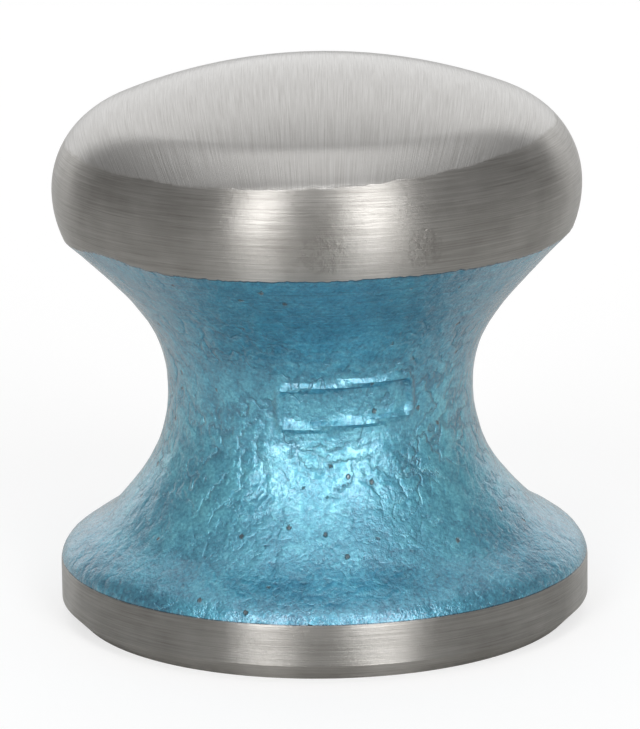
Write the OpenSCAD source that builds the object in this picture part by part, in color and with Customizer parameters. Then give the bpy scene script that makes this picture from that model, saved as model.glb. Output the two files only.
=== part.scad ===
// Hand anvil: one steel forging with a crowned face, a gripping waist and a flat foot,
// and the coat of paint that covers its waist between the two ground bands.
// The origin is the middle of the base, +Z runs up the turning axis to the crown.

/* [Foot] */
// Diameter of the foot, across its ground band
foot_d = 60; // [58:0.5:62]
// Width of the chamfer round the base, at 45 degrees
base_chamfer = 2; // [0.5:0.1:3]
// Height at which the straight side of the foot ends
shoulder_z = 6; // [4:0.1:6.4]
// Radius of the shoulder that rounds the foot into its flank
shoulder_r = 3; // [1.5:0.1:3.6]

/* [Waist] */
// Diameter at the narrowest place
waist_d = 34.4; // [32:0.2:38]
// Height of the narrowest place
waist_z = 26; // [25:0.5:28]
// Radius of the hollow that rings the waist
hollow_r = 17.2; // [15:0.2:18]

/* [Head] */
// Diameter of the rim at its widest
head_d = 59.4; // [58:0.2:62]
// Height of the rim's lower edge
rim_edge_z = 44.5; // [43.5:0.1:46]
// Radius of the barrelled rim below its widest place
rim_barrel_r = 12.5; // [10:0.5:16]
// Radius of the round between the rim and the crown
edge_r = 10; // [8:0.5:11]
// Radius of the crowned working face
crown_r = 61.5; // [58:0.5:70]
// Height of the crown's middle above the base
anvil_h = 63.2; // [62:0.2:65]

/* [Paint] */
// Thickness of the paint coat
paint_t = 0.2; // [0.1:0.05:0.4]
// Height of the paint's lower edge, just above the ground foot band
paint_low_z = 6.6; // [6.5:0.1:8]

/* [Hidden] */
$fn = 128;
steel_colour = [0.66, 0.66, 0.65];
paint_colour = [0.20, 0.46, 0.60];

foot_r = foot_d / 2;
waist_r = waist_d / 2;
head_r = head_d / 2;
// Each arc laps over its neighbour by this much, so that the two meet cleanly
lap = 0.001;
// A length past every outline, for shapes that only cut
reach = foot_d + anvil_h;

// Direction of a vector, and the unit vector of a direction
function direction(v) = atan2(v[1], v[0]);
function unit(angle) = [cos(angle), sin(angle)];

// Centres of the arcs, as [distance from the turning axis, height]
shoulder_centre = [foot_r - shoulder_r, shoulder_z];
hollow_centre = [waist_r + hollow_r, waist_z];
crown_centre = [0, anvil_h - crown_r];
edge_x = head_r - edge_r;
edge_rise = sqrt(pow(crown_r - edge_r + lap, 2) - pow(edge_x, 2));
edge_centre = [edge_x, crown_centre[1] + edge_rise];
rim_centre = [head_r - lap - rim_barrel_r, edge_centre[1]];

// The straight flank touches the shoulder and the hollow
shoulder_to_hollow = hollow_centre - shoulder_centre;
flank_angle = direction(shoulder_to_hollow)
    - acos((shoulder_r + hollow_r - 2 * lap) / norm(shoulder_to_hollow));

// The straight flare runs from the hollow to the rim's lower edge, and stops past it
rim_drop = rim_centre[1] - rim_edge_z;
rim_edge = [rim_centre[0] + sqrt(pow(rim_barrel_r, 2) - pow(rim_drop, 2)), rim_edge_z];
hollow_to_rim = rim_edge - hollow_centre;
flare_angle = direction(hollow_to_rim) + acos((hollow_r - lap) / norm(hollow_to_rim));
flare_end = rim_edge + unit(flare_angle - 90);

// A level slice of the section plane between two heights
module level(from, to) {
    translate([0, from])
        square([reach, to - from]);
}

// Half of the foot's section, up to the end of its straight side
module foot_half() {
    polygon([
        [0, 0],
        [foot_r - base_chamfer, 0],
        [foot_r, base_chamfer],
        [foot_r, shoulder_z],
        [0, shoulder_z],
    ]);
}

// Half of the section from the shoulder to the rim's lower edge, inset by a thickness
module waist_half(inset = 0) {
    difference() {
        polygon([
            [0, shoulder_z],
            shoulder_centre,
            shoulder_centre + (shoulder_r - inset - lap) * unit(flank_angle),
            hollow_centre - (hollow_r + inset - lap) * unit(flank_angle),
            hollow_centre + (hollow_r + inset - lap) * unit(flare_angle),
            flare_end + inset * unit(flare_angle),
            [0, flare_end[1]],
        ]);
        translate(hollow_centre)
            circle(hollow_r + inset);
    }
    intersection() {
        translate(shoulder_centre)
            circle(shoulder_r - inset);
        level(shoulder_z, waist_z);
    }
}

// Half of the head's section: the barrelled rim, the edge round and the crown
module head_half() {
    intersection() {
        translate(rim_centre)
            circle(rim_barrel_r);
        level(rim_edge_z, rim_centre[1]);
    }
    intersection() {
        translate(edge_centre)
            circle(edge_r);
        level(rim_edge_z, anvil_h);
    }
    intersection() {
        translate(crown_centre)
            circle(crown_r);
        polygon([
            [0, rim_edge_z],
            [edge_x, rim_edge_z],
            edge_centre,
            edge_centre + reach * unit(direction(edge_centre - crown_centre)),
            [0, reach],
        ]);
    }
}

// The forging: bare steel at the foot and the head, and set back under the paint
module anvil_body() {
    color(steel_colour)
        rotate_extrude() {
            foot_half();
            intersection() {
                waist_half();
                level(shoulder_z, paint_low_z);
            }
            intersection() {
                waist_half(paint_t);
                level(paint_low_z, rim_edge_z);
            }
            head_half();
        }
}

// The paint: a thin coat round the waist, flush with the ground bands at both its edges
module paint_coat() {
    color(paint_colour)
        rotate_extrude()
            intersection() {
                difference() {
                    waist_half();
                    waist_half(paint_t);
                }
                level(paint_low_z, rim_edge_z);
            }
}

anvil_body();
paint_coat();
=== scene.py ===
from math import acos, asin, atan2, ceil, cos, exp, pi, radians, sin, sqrt

import bpy
from mathutils import Matrix, Vector


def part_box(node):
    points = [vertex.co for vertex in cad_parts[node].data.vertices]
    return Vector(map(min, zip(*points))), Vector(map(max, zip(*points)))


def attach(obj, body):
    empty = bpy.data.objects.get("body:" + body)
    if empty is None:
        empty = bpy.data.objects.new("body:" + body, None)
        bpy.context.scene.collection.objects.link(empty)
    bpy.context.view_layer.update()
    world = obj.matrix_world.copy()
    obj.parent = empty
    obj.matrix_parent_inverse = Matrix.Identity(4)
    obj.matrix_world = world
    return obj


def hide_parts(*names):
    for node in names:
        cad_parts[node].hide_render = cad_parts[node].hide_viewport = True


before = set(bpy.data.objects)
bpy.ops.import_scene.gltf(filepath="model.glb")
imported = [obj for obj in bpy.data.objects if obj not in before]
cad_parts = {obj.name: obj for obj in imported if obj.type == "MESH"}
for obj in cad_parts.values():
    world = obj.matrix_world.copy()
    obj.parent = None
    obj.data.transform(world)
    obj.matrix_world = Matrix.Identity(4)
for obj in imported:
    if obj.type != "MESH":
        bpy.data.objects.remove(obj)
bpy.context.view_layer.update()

# The viewpoint. The camera is just over half a metre away and looks down a little, so that
# the crown shows as a shallow ellipse. It is rolled by less than a degree.
photo_height = 729
focal_in_pixels = 4863.4
sensor_in_mm = 36
camera_distance = 0.55
camera_rise = radians(14.12)
camera_roll = radians(0.73)
aim = Vector((-0.00024, 0.0, 0.02825))

toward_camera = Vector((0, -cos(camera_rise), sin(camera_rise)))
across = Vector((1, 0, 0))
upward = toward_camera.cross(across)
rolled_across = across * cos(camera_roll) - upward * sin(camera_roll)
rolled_upward = across * sin(camera_roll) + upward * cos(camera_roll)
camera_axes = Matrix((rolled_across, rolled_upward, toward_camera)).transposed()
camera_place = Matrix.Translation(aim + toward_camera * camera_distance)

camera = bpy.data.objects.new("viewpoint", bpy.data.cameras.new("viewpoint"))
camera.data.sensor_width = sensor_in_mm
camera.data.lens = focal_in_pixels * sensor_in_mm / photo_height
camera.data.clip_start, camera.data.clip_end = 0.01, 20
camera.matrix_world = camera_place @ camera_axes.to_4x4()
bpy.context.scene.collection.objects.link(camera)
bpy.context.scene.camera = camera

# The forging. One lump of tool steel, drop forged between dies, then ground bright on the
# crowned face, round the barrelled rim, round the foot and under the base. The waist keeps
# its rough forged skin, which the lacquer covers.
foot_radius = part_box("anvil_body")[1].x
anvil_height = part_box("anvil_body")[1].z
foot_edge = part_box("paint_coat")[0].z
head_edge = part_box("paint_coat")[1].z
paint_thickness = 0.0002
base_chamfer = 0.002
shoulder_height = 0.006
shoulder_radius = 0.003
waist_radius = 0.0172
waist_height = 0.026
hollow_radius = 0.0172
head_radius = 0.0297
barrel_radius = 0.0125
edge_round = 0.010
crown_radius = 0.0615

# Centres of the half outline's arcs, as distance from the turning axis and height.
shoulder_centre = Vector((foot_radius - shoulder_radius, shoulder_height))
hollow_centre = Vector((waist_radius + hollow_radius, waist_height))
crown_centre = Vector((0, anvil_height - crown_radius))
edge_reach = head_radius - edge_round
edge_lift = sqrt((crown_radius - edge_round) ** 2 - edge_reach**2)
edge_centre = crown_centre + Vector((edge_reach, edge_lift))
barrel_centre = Vector((head_radius - barrel_radius, edge_centre.y))


def ray(angle):
    """The unit vector at an angle above the horizontal."""
    return Vector((cos(angle), sin(angle)))


def bearing(vector):
    """The angle of a vector above the horizontal."""
    return atan2(vector.y, vector.x)


# Where the arcs end. The straight flank touches the shoulder and the hollow, and the straight
# flare leaves the hollow for the lower corner of the rim.
shoulder_to_hollow = hollow_centre - shoulder_centre
flank_bearing = bearing(shoulder_to_hollow) - acos(
    (shoulder_radius + hollow_radius) / shoulder_to_hollow.length
)
barrel_start = -asin((barrel_centre.y - head_edge) / barrel_radius)
rim_corner = barrel_centre + barrel_radius * ray(barrel_start)
hollow_to_corner = rim_corner - hollow_centre
flare_bearing = bearing(hollow_to_corner) + acos(hollow_radius / hollow_to_corner.length)
crown_start = bearing(edge_centre - crown_centre)
foot_edge_start = asin((foot_edge - shoulder_height) / shoulder_radius)


def arc(centre, radius, start, end, spacing):
    """Points round an arc of the half outline, each with the direction that faces outwards."""
    steps = max(1, ceil(abs(end - start) * radius / spacing))
    angles = [start + (end - start) * i / steps for i in range(steps + 1)]
    side = -1 if centre is hollow_centre else 1
    return [(centre + radius * ray(angle), side * ray(angle)) for angle in angles]


def straight(start, end, facing_out, spacing):
    """Points along a straight stretch of the half outline."""
    steps = max(1, ceil((end - start).length / spacing))
    return [(start.lerp(end, i / steps), facing_out) for i in range(steps + 1)]


def waist_outline(inset, spacing):
    """The half outline from the foot's paint edge to the head's, set in by a thickness."""
    shoulder = arc(
        shoulder_centre, shoulder_radius - inset, foot_edge_start, flank_bearing, spacing
    )
    hollow = arc(
        hollow_centre, hollow_radius + inset, flank_bearing + pi, flare_bearing, spacing
    )
    flank = straight(shoulder[-1][0], hollow[0][0], ray(flank_bearing), spacing)
    corner = rim_corner + inset * ray(flare_bearing)
    flare = straight(hollow[-1][0], corner, -ray(flare_bearing), spacing)
    return shoulder[:-1] + flank[:-1] + hollow[:-1] + flare


def bell(offset):
    """1 at no offset, falling away to nothing on both sides."""
    return exp(-offset * offset)


def settled(points):
    """Waist points with the flank drawn in and the neck filled, as worn dies leave them."""
    flank_height, flank_reach, flank_hollow = 0.0114, 0.0018, 0.00045
    neck_height, neck_reach, neck_swell = 0.0365, 0.0040, 0.0003
    result = []
    for point, facing_out in points:
        hollow = flank_hollow * bell((point.y - flank_height) / flank_reach)
        swell = neck_swell * bell((point.y - neck_height) / neck_reach)
        result.append((point + (swell - hollow) * facing_out, facing_out))
    return result


def eased(value):
    """Eases from 0 to 1 as the value goes from 0 to 1."""
    value = min(1, max(0, value))
    return value * value * (3 - 2 * value)


def within_paint(point):
    """0 at the paint's edges and on the bare steel, rising to 1 well inside the paint."""
    edge_fade = 0.0016
    return eased(min(point.y - foot_edge, head_edge - point.y) / edge_fade)


def beside_edge(distance):
    """1 at an edge of the paint, falling to 0 at a short distance from it."""
    slide_reach = 0.0025
    return 1 - eased(abs(distance) / slide_reach)


def set_back(points):
    """Hidden waist points, drawn further in so that they stay clear of the skin's relief."""
    spare = 0.0004
    return [(point - spare * within_paint(point) * out, out) for point, out in points]


def outline_object(name, points):
    """A half outline as a chain of edges, each point with the marks that the turning reads."""
    mesh = bpy.data.meshes.new(name)
    links = [(i, i + 1) for i in range(len(points) - 1)]
    mesh.from_pydata([(point.x, 0, point.y) for point, _ in points], links, [])
    up_rim = ray(barrel_start + pi / 2)
    up_foot = ray(foot_edge_start + pi / 2)
    marks = {
        "facing": [out for _, out in points],
        "head_slide": [up_rim * beside_edge(point.y - head_edge) for point, _ in points],
        "foot_slide": [up_foot * beside_edge(point.y - foot_edge) for point, _ in points],
    }
    for mark, vectors in marks.items():
        values = mesh.attributes.new(mark, "FLOAT_VECTOR", "POINT").data
        for value, vector in zip(values, vectors):
            value.vector = (vector.x, 0, vector.y)
    values = mesh.attributes.new("skin", "FLOAT", "POINT").data
    for value, (point, _) in zip(values, points):
        value.value = within_paint(point)
    chain = bpy.data.objects.new(name, mesh)
    bpy.context.scene.collection.objects.link(chain)
    return chain


def set_inputs(node, inputs):
    """Sets each input of a node to a value, or links it to a socket or a quantity."""
    for key, value in inputs.items():
        value = getattr(value, "socket", value)
        if isinstance(value, bpy.types.NodeSocket):
            node.id_data.links.new(value, node.inputs[key])
        else:
            node.inputs[key].default_value = value


def new_node(tree, kind, inputs=None, **settings):
    """A node with its settings and its inputs."""
    node = tree.nodes.new(kind)
    for name, value in settings.items():
        setattr(node, name, value)
    set_inputs(node, inputs or {})
    return node


def output_of(tree, kind, inputs=None, out=0, **settings):
    """What a new node gives out, as a quantity."""
    return Quantity(new_node(tree, kind, inputs, **settings).outputs[out])


class Quantity:
    """A node's output, so that sums between nodes read as plain sums."""

    def __init__(self, socket):
        self.socket = socket
        self.tree = socket.id_data

    def math(self, operation, *others):
        """The result of one sum, which reads this quantity first."""
        inputs = dict(enumerate((self, *others)))
        return output_of(self.tree, "ShaderNodeMath", inputs, operation=operation)

    def __add__(self, other):
        return self.math("ADD", other)

    def __sub__(self, other):
        return self.math("SUBTRACT", other)

    def __rsub__(self, other):
        return -self + other

    def __mul__(self, other):
        return self.math("MULTIPLY", other)

    def __truediv__(self, other):
        return self.math("DIVIDE", other)

    def __neg__(self):
        return self.math("MULTIPLY", -1.0)

    def __abs__(self):
        return self.math("ABSOLUTE")


def higher(a, b):
    """The higher of two quantities."""
    return a.math("MAXIMUM", b)


def split(vector):
    """The x, y and z of a vector."""
    node = new_node(vector.tree, "ShaderNodeSeparateXYZ", {0: vector})
    return [Quantity(output) for output in node.outputs]


def joined(x, y, z):
    """A vector from its x, y and z."""
    return output_of(x.tree, "ShaderNodeCombineXYZ", {0: x, 1: y, 2: z})


def vector_math(operation, vector, inputs):
    """The result of a sum on a vector."""
    inputs = {0: vector, **inputs}
    return output_of(vector.tree, "ShaderNodeVectorMath", inputs, operation=operation)


def shifted(vector, direction, amount):
    """A vector moved along a direction by an amount."""
    step = vector_math("SCALE", direction, {"Scale": amount})
    return vector_math("ADD", vector, {1: step})


def noise(where, scale, detail, roughness, seed):
    """Noise from -1 to 1, with its scale as cells in one unit of the vector that it reads."""
    inputs = {"Vector": where, "W": seed, "Scale": scale, "Detail": detail}
    inputs["Roughness"] = roughness
    cloud = output_of(where.tree, "ShaderNodeTexNoise", inputs, noise_dimensions="4D")
    return (cloud - 0.5) * 2.0


def ramp(value, low, high, to_low=0.0, to_high=1.0):
    """A smooth step from to_low to to_high, as the value goes from low to high."""
    inputs = {"Value": value, "From Min": low, "From Max": high}
    inputs.update({"To Min": to_low, "To Max": to_high})
    kind = "ShaderNodeMapRange"
    return output_of(value.tree, kind, inputs, interpolation_type="SMOOTHSTEP")


def mix(share, first, second, kind="FLOAT"):
    """A blend of two numbers, vectors or colours, by the second one's share."""
    a, b, out = {"FLOAT": (2, 3, 0), "VECTOR": (4, 5, 1), "RGBA": (6, 7, 2)}[kind]
    inputs = {0: share, a: first, b: second}
    return output_of(share.tree, "ShaderNodeMix", inputs, out=out, data_type=kind)


# The turning tree. It stands a column of the outline's points at each step of a turn, with the
# seam at the back, and then moves the points as the forged skin and the ground edges wander.
turning = bpy.data.node_groups.new("turned skin", "GeometryNodeTree")
for socket_name, socket_kind in (
    ("Outline", "NodeSocketGeometry"),
    ("Outline points", "NodeSocketInt"),
    ("Segments", "NodeSocketInt"),
    ("Broad relief", "NodeSocketFloat"),
    ("Fine relief", "NodeSocketFloat"),
    ("Head edge wander", "NodeSocketFloat"),
    ("Foot edge wander", "NodeSocketFloat"),
    ("Seed", "NodeSocketFloat"),
    ("Material", "NodeSocketMaterial"),
):
    turning.interface.new_socket(socket_name, in_out="INPUT", socket_type=socket_kind)
turning.interface.new_socket("Turned", in_out="OUTPUT", socket_type="NodeSocketGeometry")
given = new_node(turning, "NodeGroupInput").outputs
rows, segments = Quantity(given["Outline points"]), Quantity(given["Segments"])
index = output_of(turning, "GeometryNodeInputIndex")
column = ((index + 0.5) / rows).math("FLOOR")
row = (index - column * rows).math("ROUND")
turn = column / segments * (2 * pi) - pi
turn_sine, turn_cosine = turn.math("SINE"), turn.math("COSINE")


def from_outline(value, kind):
    """What each outline point has, read for each point of the turned skin."""
    inputs = {"Geometry": given["Outline"], "Value": value, "Index": row}
    return output_of(turning, "GeometryNodeSampleIndex", inputs, out="Value", data_type=kind)


def carried(name, kind="FLOAT_VECTOR"):
    """A named mark of the outline's points."""
    reader = "GeometryNodeInputNamedAttribute"
    mark = output_of(turning, reader, {"Name": name}, out="Attribute", data_type=kind)
    return from_outline(mark, kind)


def spun(vector):
    """A vector of the outline's plane, turned to its place round the axis."""
    x, _, z = split(vector)
    return joined(x * turn_sine, -(x * turn_cosine), z)


place = from_outline(output_of(turning, "GeometryNodeInputPosition"), "FLOAT_VECTOR")
radius_here, _, height_here = split(place)

# The lower edge of the ground rim wanders, because the grinder met a rough forging there. It
# climbs most at the left of the front, and the foot's edge runs smoother.
climb_at, climb_width, climb = radians(-54), radians(12), 0.0009
quick_share = 1.1
wheel = joined(turn_sine, turn_cosine, 0.0)
from_climb = (turn - climb_at) / climb_width
climb_here = (-(from_climb * from_climb)).math("EXPONENT") * climb
slow_wander = noise(wheel, scale=2.2, detail=1.0, roughness=0.5, seed=given["Seed"])
quick_wander = noise(wheel, scale=22.0, detail=3.0, roughness=0.65, seed=7.0)
head_wander = slow_wander + quick_wander * quick_share
head_shift = head_wander * given["Head edge wander"] + climb_here
foot_wander = noise(wheel, scale=5.0, detail=3.0, roughness=0.6, seed=11.0)
foot_shift = foot_wander * given["Foot edge wander"]

# A plain raised frame round a bare panel, on the front of the waist and a little aslant. The
# distance from its outline is below 0 on the panel, where the forging is flatter.
panel_turn, panel_height, panel_tilt = radians(9.6), 0.0280, radians(4)
panel_half_length, panel_half_height, panel_corner = 0.0076, 0.0023, 0.0010
frame_half_width, frame_flat, frame_lift = 0.00070, 0.00005, 0.00040
panel_sink, calm_reach, calm_share = 0.00010, 0.0012, 0.35
panel_aside = (turn - panel_turn) * radius_here
panel_above = height_here - panel_height
panel_x = panel_aside * cos(panel_tilt) + panel_above * sin(panel_tilt)
panel_y = panel_above * cos(panel_tilt) - panel_aside * sin(panel_tilt)
past_end = abs(panel_x) - (panel_half_length - panel_corner)
past_side = abs(panel_y) - (panel_half_height - panel_corner)
corner_x, corner_y = higher(past_end, 0.0), higher(past_side, 0.0)
outside = (corner_x * corner_x + corner_y * corner_y).math("SQRT")
inside = higher(past_end, past_side).math("MINIMUM", 0.0)
from_frame = outside + inside - panel_corner
frame_rise = ramp(abs(from_frame), frame_half_width, frame_flat, 0.0, frame_lift)
panel_drop = ramp(from_frame, -frame_half_width, 0.0, -panel_sink, 0.0)
calm = ramp(from_frame, 0.0, calm_reach, calm_share, 1.0)

# The forged skin has broad swells and small dents under and in the lacquer.
round_place = spun(place)
swells = noise(round_place, scale=85.0, detail=1.5, roughness=0.5, seed=given["Seed"])
dents = noise(round_place, scale=400.0, detail=2.5, roughness=0.5, seed=5.0)
relief = swells * given["Broad relief"] + dents * given["Fine relief"] * calm
relief = (relief + frame_rise + panel_drop) * carried("skin", "FLOAT")
moved = shifted(place, carried("head_slide"), head_shift)
moved = shifted(moved, carried("foot_slide"), foot_shift)
moved = shifted(moved, carried("facing"), relief)

# The head stands a little to the left of the foot and sits tilted, as the dies left it.
lean, lean_from, lean_full = -0.00020, 0.008, 0.020
tilt, tilt_from, tilt_full, tilt_pivot = 0.0101, 0.034, 0.046, 0.035
x, y, z = split(spun(moved))
tilt_here = ramp(height_here, tilt_from, tilt_full) * tilt
lean_here = ramp(height_here, lean_from, lean_full, 0.0, lean)
tilted = joined(x + lean_here - (z - tilt_pivot) * tilt_here, y, z + x * tilt_here)


def worked(mesh, kind, inputs=None, **settings):
    """A mesh after one more step of the turning tree."""
    return output_of(turning, kind, {"Geometry": mesh, **(inputs or {})}, **settings)


# The skin carries its distances from the paint's edges, for the lacquer's dark lines. The seam
# and the poles are closed, and only keen edges are shaded sharp.
seam_gap, keen_bend = 2e-6, radians(28)
turned = output_of(
    turning, "GeometryNodeMeshGrid", {"Vertices X": segments + 1, "Vertices Y": rows}
)
turned = worked(turned, "GeometryNodeSetPosition", {"Position": tilted})
for mark, distance in (
    ("to_head_edge", head_edge - height_here),
    ("to_foot_edge", height_here - foot_edge),
):
    turned = worked(
        turned,
        "GeometryNodeStoreNamedAttribute",
        {"Name": mark, "Value": distance},
        data_type="FLOAT",
        domain="POINT",
    )
turned = worked(turned, "GeometryNodeMergeByDistance", {"Distance": seam_gap})
turned = worked(turned, "GeometryNodeSetShadeSmooth", {"Shade Smooth": True}, domain="FACE")
bend = output_of(turning, "GeometryNodeInputMeshEdgeAngle")
keen = output_of(
    turning,
    "FunctionNodeCompare",
    {0: bend, 1: keen_bend},
    data_type="FLOAT",
    operation="GREATER_THAN",
)
sharp = {"Selection": keen, "Shade Smooth": False}
turned = worked(turned, "GeometryNodeSetShadeSmooth", sharp, domain="EDGE")
turned = worked(turned, "GeometryNodeRealizeInstances")
turned = worked(turned, "GeometryNodeSetMaterial", {"Material": given["Material"]})
new_node(turning, "NodeGroupOutput", {"Turned": turned})


def turned_piece(name, points, material):
    """A plain mesh of a half outline, turned round the axis."""
    source = outline_object(name + " outline", points)
    modifier = source.modifiers.new("turning", "NODES")
    modifier.node_group = turning
    values = {
        "Outline points": len(points),
        "Segments": 640,
        "Broad relief": 0.00016,
        "Fine relief": 0.00010,
        "Head edge wander": 0.00034,
        "Foot edge wander": 0.00008,
        "Seed": 3.0,
        "Material": material,
    }
    for item in turning.interface.items_tree:
        if item.in_out == "INPUT" and item.name in values:
            modifier[item.identifier] = values[item.name]
    bpy.context.view_layer.update()
    seen = source.evaluated_get(bpy.context.evaluated_depsgraph_get())
    piece = bpy.data.objects.new(name, bpy.data.meshes.new_from_object(seen))
    bpy.context.scene.collection.objects.link(piece)
    bpy.data.objects.remove(source)
    return piece


# The bare steel. Grinding lines run from front to back over the crown, and round the rim and
# the foot. The two grinds meet in a ragged line on the edge round.
bright_steel = (0.60, 0.59, 0.575, 1)
worn_steel = (0.58, 0.565, 0.54, 1)
dark_steel = (0.30, 0.285, 0.265, 1)
steel = bpy.data.materials.new("ground steel")
steel.use_nodes = True
nodes = steel.node_tree
spot = output_of(nodes, "ShaderNodeTexCoord", out="Object")
x, y, z = split(spot)
around = x.math("ARCTAN2", -y)
slope = split(output_of(nodes, "ShaderNodeNewGeometry", out="Normal"))[2].math("ARCSINE")
meeting_slope, meeting_aside, meeting_oval = radians(35.7), radians(6.12), radians(3.71)
meeting_half_width, meeting_ragged = radians(1.6), radians(3.5)
meeting = around.math("SINE") * meeting_aside + meeting_slope
meeting = meeting - (around * 2.0).math("COSINE") * meeting_oval
ragged = noise(spot, scale=350.0, detail=4.0, roughness=0.65, seed=0.0) * meeting_ragged
past_meeting = slope + ragged - meeting
on_crown = ramp(past_meeting, -meeting_half_width, meeting_half_width)

# The crown's lines lie in planes that fan out from a level line inside the waist.
fan_height, fan_lines, fan_run = 0.020, 330.0, 120.0
round_lines_scale = (110.0, 110.0, 6400.0)
fan = x.math("ARCTAN2", z - fan_height)
crown_marks = joined(fan * fan_lines, y * fan_run, 0.0)
round_marks = vector_math("MULTIPLY", spot, {1: round_lines_scale})
crown_lines = noise(crown_marks, scale=1.0, detail=4.0, roughness=0.7, seed=1.0)
round_lines = noise(round_marks, scale=1.0, detail=3.0, roughness=0.65, seed=2.0)
lines = mix(on_crown, round_lines, crown_lines)
blotches = noise(spot, scale=160.0, detail=3.0, roughness=0.55, seed=4.0)
grain = noise(spot, scale=1900.0, detail=3.0, roughness=0.6, seed=6.0)

# Two low patches at the front of the rim, which the grinder only just missed.
patch_height, patch_half_height = 0.0478, 0.0026
patch_far, patch_full, patch_ragged = 1.1, 0.5, 0.9
patch_places = ((0.0, radians(5.5)), (radians(22), radians(4.5)))
patch_edge = noise(spot, scale=600.0, detail=3.0, roughness=0.6, seed=14.0) * patch_ragged
missed = 0.0
for patch_at, patch_half_width in patch_places:
    off = (around - patch_at) / patch_half_width
    rise = (z - patch_height) / patch_half_height
    missed = higher(ramp(off * off + rise * rise + patch_edge, patch_far, patch_full), missed)
patch_grain = noise(spot, scale=1300.0, detail=2.0, roughness=0.6, seed=15.0)
missed = missed * ramp(patch_grain, -0.25, 0.15)

# The steel's colour goes from dark to bright by its lines and blotches.
crown_level, crown_contrast = 0.78, 0.95
round_level, round_contrast, blotch_contrast, patch_darkness = 0.45, 0.7, 0.5, 0.55
crown_shine = crown_lines * crown_contrast + crown_level
round_shine = round_lines * round_contrast + blotches * blotch_contrast + round_level
crown_tint = mix(crown_shine, dark_steel, bright_steel, "RGBA")
round_tint = mix(round_shine, dark_steel, worn_steel, "RGBA")
round_tint = mix(missed * patch_darkness, round_tint, dark_steel, "RGBA")
steel_tint = mix(on_crown, round_tint, crown_tint, "RGBA")

# Light spreads across the lines, so each grind has its own direction of shine.
crown_roughness, round_roughness, line_polish = 0.31, 0.40, -0.05
grain_depth, patch_depth = 0.35, 1.5
across_crown = vector_math("NORMALIZE", joined(z - fan_height, 0.0, -x), {})
across_lines = mix(ramp(on_crown, 0.45, 0.55), (0, 0, 1), across_crown, "VECTOR")
steel_roughness = mix(on_crown, round_roughness, crown_roughness) + lines * line_polish
steel_relief = lines + grain * (missed * patch_depth + grain_depth)
steel_bump = {"Height": steel_relief, "Strength": 0.6, "Distance": 0.00003}
steel_looks = {
    "Metallic": 1.0,
    "Anisotropic": 0.95,
    "Base Color": steel_tint,
    "Roughness": steel_roughness,
    "Tangent": across_lines,
    "Normal": output_of(nodes, "ShaderNodeBump", steel_bump),
}
set_inputs(nodes.nodes["Principled BSDF"], steel_looks)

base_middle = Vector((0, 0))
base_end = Vector((foot_radius - base_chamfer, 0))
band_low = Vector((foot_radius, base_chamfer))
band_high = Vector((foot_radius, shoulder_height))
base = straight(base_middle, base_end, Vector((0, -1)), spacing=0.004)
chamfer = straight(base_end, band_low, ray(radians(-45)), spacing=0.0005)
band = straight(band_low, band_high, Vector((1, 0)), spacing=0.0008)
band_top = arc(shoulder_centre, shoulder_radius, 0, foot_edge_start, spacing=0.0003)
under_paint = set_back(settled(waist_outline(paint_thickness, spacing=0.0012)))
rim = arc(barrel_centre, barrel_radius, barrel_start, 0, spacing=0.0004)
rounded = arc(edge_centre, edge_round, 0, crown_start, spacing=0.0004)
crown = arc(crown_centre, crown_radius, crown_start, pi / 2, spacing=0.0005)
foot_points = base[:-1] + chamfer[:-1] + band[:-1] + band_top
head_points = rim[:-1] + rounded[:-1] + crown
forging = turned_piece("ground_forging", foot_points + under_paint + head_points, steel)
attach(forging, "root")
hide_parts("anvil_body")

# The lacquer. A film of blue metallic paint over the rough forged skin, sprayed on before the
# head and the foot were ground, so it ends in a clean dark line at each ground edge. It is
# glossy, wrinkled where it lay thick, and pitted where scale came off.
deep_blue = (0.030, 0.150, 0.245, 1)
mid_blue = (0.090, 0.380, 0.53, 1)
pale_blue = (0.24, 0.76, 0.88, 1)
pit_brown = (0.07, 0.065, 0.06, 1)
edge_dark = (0.012, 0.03, 0.05, 1)
lacquer = bpy.data.materials.new("blue metallic lacquer")
lacquer.use_nodes = True
nodes = lacquer.node_tree
spot = output_of(nodes, "ShaderNodeTexCoord", out="Object")
z = split(spot)[2]


def band_round(middle, full, faded):
    """1 at the heights near a middle one, and 0 at the heights far from it."""
    return 1.0 - ramp(abs(z - middle), full, faded)


# The colour goes from deep to pale blue in clouds, mottles and speckles of metal, and a
# painted highlight makes it paler round the middle of the waist.
cloud_share, speckle_share, mottle_share, waist_highlight_share, plain_tone = 0.35, 0.55, 0.4, 0.18, 0.38
waist_highlight_height = 0.0215
cloud = noise(spot, scale=110.0, detail=3.0, roughness=0.6, seed=2.0)
speckle = noise(spot, scale=2600.0, detail=3.0, roughness=0.7, seed=3.0)
mottle = noise(spot, scale=620.0, detail=4.0, roughness=0.65, seed=8.0)
painted_waist_highlight = band_round(waist_highlight_height, full=0.004, faded=0.014)
tone = cloud * cloud_share + speckle * speckle_share + mottle * mottle_share
tone = tone + plain_tone + painted_waist_highlight * waist_highlight_share
blues = new_node(nodes, "ShaderNodeValToRGB", {0: tone})
stops = blues.color_ramp.elements
stops[0].position, stops[0].color = 0.1, deep_blue
stops[1].position, stops[1].color = 0.95, pale_blue
stops.new(0.5).color = mid_blue

# Creases wander over the skin, and most of them are round the waist.
wrinkle_height = 0.027
crease_bend, crease_far, crease_full = 0.0006, 0.10, 0.01
crease_everywhere, crease_at_waist = 0.25, 0.75
bent = shifted(spot, joined(cloud, mottle, speckle), crease_bend)
folds = abs(noise(bent, scale=330.0, detail=2.0, roughness=0.5, seed=12.0))
wrinkled = band_round(wrinkle_height, full=0.005, faded=0.013)
crease_places = noise(spot, scale=150.0, detail=2.0, roughness=0.5, seed=9.0)
creased = ramp(folds, crease_far, crease_full) * ramp(crease_places, -0.25, 0.3)
creased = creased * (wrinkled * crease_at_waist + crease_everywhere)

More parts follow.
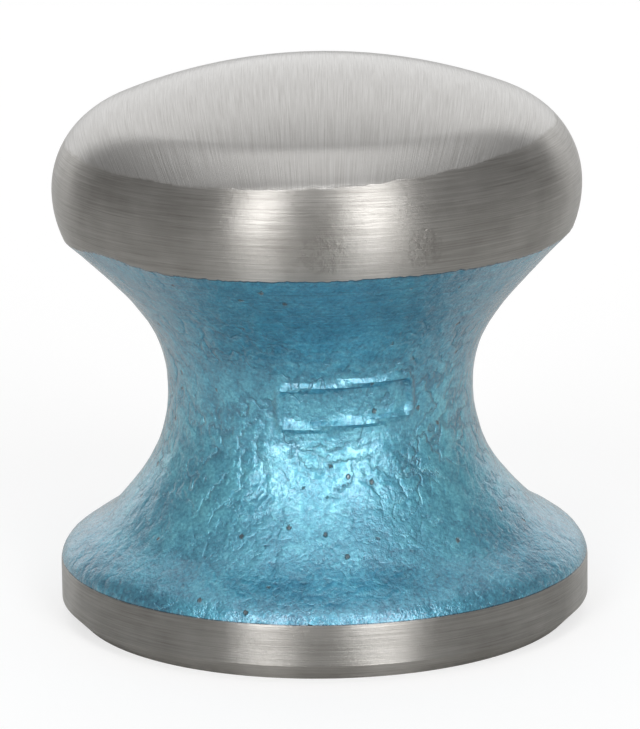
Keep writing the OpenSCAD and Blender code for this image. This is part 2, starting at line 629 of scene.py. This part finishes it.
# Lines turned round the neck show through the paint under the head.
neck_lines_scale = (30.0, 30.0, 3600.0)
neck_from, neck_full = 0.034, 0.0395
neck_marks = vector_math("MULTIPLY", spot, {1: neck_lines_scale})
neck_lines = noise(neck_marks, scale=1.0, detail=3.0, roughness=0.7, seed=5.0)
under_head = ramp(z, neck_from, neck_full)
# Painted shade darkens the blue along the grooves of these lines.
neck_groove_shade = ramp(neck_lines, 0.05, -0.35) * under_head

# A pit sits in the middle of some of the cells of a scatter, chosen by the cell's own number.
pit_scatter, pit_rim, pit_floor, pit_share, pit_share_fade = 420.0, 0.15, 0.07, 0.40, 0.46
pit_cells = new_node(nodes, "ShaderNodeTexVoronoi", {"Vector": bent, "Scale": pit_scatter})
from_pit = Quantity(pit_cells.outputs["Distance"])
pit_number = split(Quantity(pit_cells.outputs["Color"]))[0]
pits = ramp(from_pit, pit_rim, pit_floor) * ramp(pit_number, pit_share_fade, pit_share)


def edge_distance(mark):
    """The distance from an edge of the paint, which the turned skin carries."""
    return output_of(nodes, "ShaderNodeAttribute", out="Fac", attribute_name=mark)


# Pits and the paint's two edges darken the blue.
# Painted shade also darkens it in the creases, in the neck lines' grooves and under the head.
head_line_width, head_line_core = 0.00022, 0.00008
foot_line_width, foot_line_core = 0.00016, 0.00006
# The first two shares are painted shade, in the grooves and in the band under the head.
groove_shade_darkness, under_head_shade_darkness, pit_darkness, edge_darkness = 0.6, 0.25, 0.8, 0.85
head_line = ramp(edge_distance("to_head_edge"), head_line_width, head_line_core)
foot_line = ramp(edge_distance("to_foot_edge"), foot_line_width, foot_line_core)
edge_lines = higher(head_line, foot_line)
painted_shade = higher(higher(creased, neck_groove_shade) * groove_shade_darkness, under_head * under_head_shade_darkness)
lacquer_tint = mix(painted_shade, blues.outputs["Color"], deep_blue, "RGBA")
lacquer_tint = mix(pits * pit_darkness, lacquer_tint, pit_brown, "RGBA")
lacquer_tint = mix(edge_lines * edge_darkness, lacquer_tint, edge_dark, "RGBA")

# The depths of the marks are shares of the mottle's own depth.
speckle_depth, fold_depth, wrinkle_depth = 0.35, 0.9, 1.1
crease_depth, pit_depth, neck_line_depth = 1.1, 1.8, 0.6
lacquer_relief = mottle + speckle * speckle_depth - creased * crease_depth
lacquer_relief = lacquer_relief + folds * (wrinkled * wrinkle_depth + fold_depth)
lacquer_relief = lacquer_relief - pits * pit_depth
lacquer_relief = lacquer_relief + neck_lines * under_head * neck_line_depth
lacquer_bump = {"Height": lacquer_relief, "Strength": 1.0, "Distance": 0.00010}
lacquer_normal = output_of(nodes, "ShaderNodeBump", lacquer_bump)
smoothest, roughest = 0.30, 0.44
lacquer_looks = {
    "Metallic": 0.65,
    "Coat Weight": 1.0,
    "Coat Roughness": 0.06,
    "Coat IOR": 1.75,
    "Base Color": lacquer_tint,
    "Roughness": ramp(mottle, -0.6, 0.6, smoothest, roughest),
    "Normal": lacquer_normal,
    "Coat Normal": lacquer_normal,
}
set_inputs(nodes.nodes["Principled BSDF"], lacquer_looks)

outer = settled(waist_outline(0, spacing=0.00046))
inner = set_back(settled(waist_outline(paint_thickness, spacing=0.0012)))
inner_down = [(point, -out) for point, out in reversed(inner)]
coat = turned_piece("lacquer_coat", outer + inner_down + outer[:1], lacquer)
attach(coat, "root")
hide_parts("paint_coat")

# The studio. A pale floor runs out past the frame. It looks white to the camera and throws a
# plain grey light back on the tool.
floor_half = 3.0
floor_grey = (0.60, 0.60, 0.59, 1)
paper_white = (0.95, 0.95, 0.95, 1)
pure_white = (1, 1, 1, 1)
glow_share, glow_strength = 0.62, 1.08
floor_corners = [
    (-floor_half, -floor_half, 0),
    (floor_half, -floor_half, 0),
    (floor_half, floor_half, 0),
    (-floor_half, floor_half, 0),
]
floor_mesh = bpy.data.meshes.new("floor")
floor_mesh.from_pydata(floor_corners, [], [(0, 1, 2, 3)])
floor = bpy.data.objects.new("floor", floor_mesh)
bpy.context.scene.collection.objects.link(floor)
pale = bpy.data.materials.new("pale floor")
pale.use_nodes = True
nodes = pale.node_tree
nodes.nodes.clear()
camera_sees = output_of(nodes, "ShaderNodeLightPath", out="Is Camera Ray")
grey = output_of(nodes, "ShaderNodeBsdfDiffuse", {"Color": floor_grey})
paper = output_of(nodes, "ShaderNodeBsdfDiffuse", {"Color": paper_white})
glow = output_of(nodes, "ShaderNodeEmission", {"Color": pure_white, "Strength": glow_strength})
shown = output_of(nodes, "ShaderNodeMixShader", {0: glow_share, 1: paper, 2: glow})
surface = output_of(nodes, "ShaderNodeMixShader", {0: camera_sees, 1: grey, 2: shown})
new_node(nodes, "ShaderNodeOutputMaterial", {"Surface": surface})
floor_mesh.materials.append(pale)

# Soft white light falls from a bright wall behind and a canopy overhead. The arch is the angle
# up from the front horizon and over the top of the tool, and the canopy is a strip along it.
studio = bpy.data.worlds.new("studio")
bpy.context.scene.world = studio
studio.use_nodes = True
nodes = studio.node_tree
x, y, z = split(output_of(nodes, "ShaderNodeTexCoord", out="Generated"))
room_strength, canopy_strength, canopy_front_strength, wall_strength = 0.25, 0.28, 0.65, 1.0
arch_droop = 0.85
strip_end, strip_full = 0.55, 0.38
wall_start, wall_full = radians(104), radians(136)
front_end, front_full = radians(108), radians(100)
canopy_start, canopy_full = radians(44), radians(56)
aside = abs(x)
arch = z.math("ARCTAN2", aside * arch_droop - y)
in_strip = ramp(aside, strip_end, strip_full)
overhead = in_strip * canopy_strength + room_strength
light = mix(ramp(arch, wall_start, wall_full), overhead, wall_strength)
light = light + in_strip * ramp(arch, front_end, front_full, 0.0, canopy_front_strength)
past_start = ramp(arch, canopy_start, canopy_full)
light = light * past_start + (1.0 - past_start) * room_strength

# A tall soft box stands at each side of the camera.
box_places = ((radians(-26), radians(8), 5.6), (radians(25), radians(11), 4.9))
box_fade = radians(2)
box_bottom, box_low, box_high, box_top = radians(-4), radians(2), radians(46), radians(54)
azimuth, elevation = x.math("ARCTAN2", -y), z.math("ARCSINE")
box_height = ramp(elevation, box_bottom, box_low) * ramp(elevation, box_top, box_high)
for box_at, box_half_width, box_strength in box_places:
    off = abs(azimuth - box_at)
    box_width = ramp(off, box_half_width + box_fade, box_half_width - box_fade)
    light = light + box_width * box_height * box_strength
camera_sees = output_of(nodes, "ShaderNodeLightPath", out="Is Camera Ray")
strength = mix(camera_sees, light, 1.0)
set_inputs(nodes.nodes["Background"], {"Color": pure_white, "Strength": strength})
bpy.context.scene.view_settings.view_transform = "Standard"
